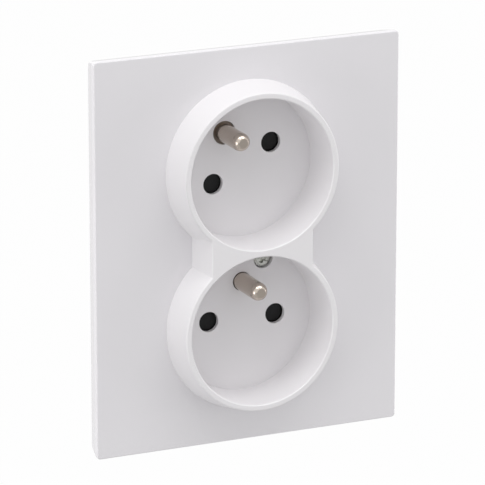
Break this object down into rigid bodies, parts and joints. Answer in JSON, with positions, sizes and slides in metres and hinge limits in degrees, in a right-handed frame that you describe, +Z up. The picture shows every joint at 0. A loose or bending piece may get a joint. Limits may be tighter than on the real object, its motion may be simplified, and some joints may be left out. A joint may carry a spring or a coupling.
{
  "type": "socket outlet",
  "caption": "White double flush wall socket outlet with round recesses, fixed earth pins and sprung shutters on a glossy rectangular cover plate.",
  "frame": {"origin": "on the wall face, midway between the two screws of the wall box", "axes": "+X to the right seen from the room, +Y into the wall, +Z up"},
  "size_m": [0.086, 0.0406, 0.106],
  "materials": {
    "plate_white": "glossy moulded, pure white",
    "cover_white": "satin moulded, pure white",
    "tray_white": "matt moulded insulator, off-white",
    "base_grey": "matt moulded insulator, light grey",
    "shutter_black": "matt moulded, black",
    "pin_nickel": "satin nickel plate",
    "screw_zinc": "bright zinc plate",
    "frame_zinc": "galvanised sheet",
    "contact_brass": "plain rolled brass",
    "spring_steel": "bright spring strip"
  },
  "bodies": {
    "outlet": {"cover_plate": "plate_white", "socket_cover": "cover_white", "cover_screw": "screw_zinc", "cover_nut": "screw_zinc", "support_frame": "frame_zinc", "frame_rivets": "screw_zinc", "shutter_tray": "tray_white", "tray_screws": "screw_zinc", "earth_bar": "pin_nickel", "base_housing": "base_grey", "shutter_spring_upper": "spring_steel", "shutter_spring_lower": "spring_steel", "earth_pin_upper": "pin_nickel", "earth_pin_lower": "pin_nickel", "live_bar": "contact_brass", "neutral_bar": "contact_brass", "live_clip_upper": "contact_brass", "live_clip_lower": "contact_brass", "neutral_clip_upper": "contact_brass", "neutral_clip_lower": "contact_brass", "live_wire_spring": "spring_steel", "neutral_wire_spring": "spring_steel", "earth_wire_spring": "spring_steel"},
    "upper_shutter": {"shutter_upper": "shutter_black"},
    "lower_shutter": {"shutter_lower": "shutter_black"}
  },
  "joints": [
    {"name": "shutter_upper_turn", "type": "hinge", "parent": "outlet", "child": "upper_shutter", "pos_m": [0, 0, 0.021], "axis": [0, 1, 0], "range_deg": [0, 36], "stiffness_Nm_per_rad": 0.002, "springref_deg": -11.46, "deforming": ["shutter_spring_upper"]},
    {"name": "shutter_lower_turn", "type": "hinge", "parent": "outlet", "child": "lower_shutter", "pos_m": [0, 0, -0.021], "axis": [0, 1, 0], "range_deg": [0, 36], "stiffness_Nm_per_rad": 0.002, "springref_deg": -11.46, "deforming": ["shutter_spring_lower"]}
  ]
}
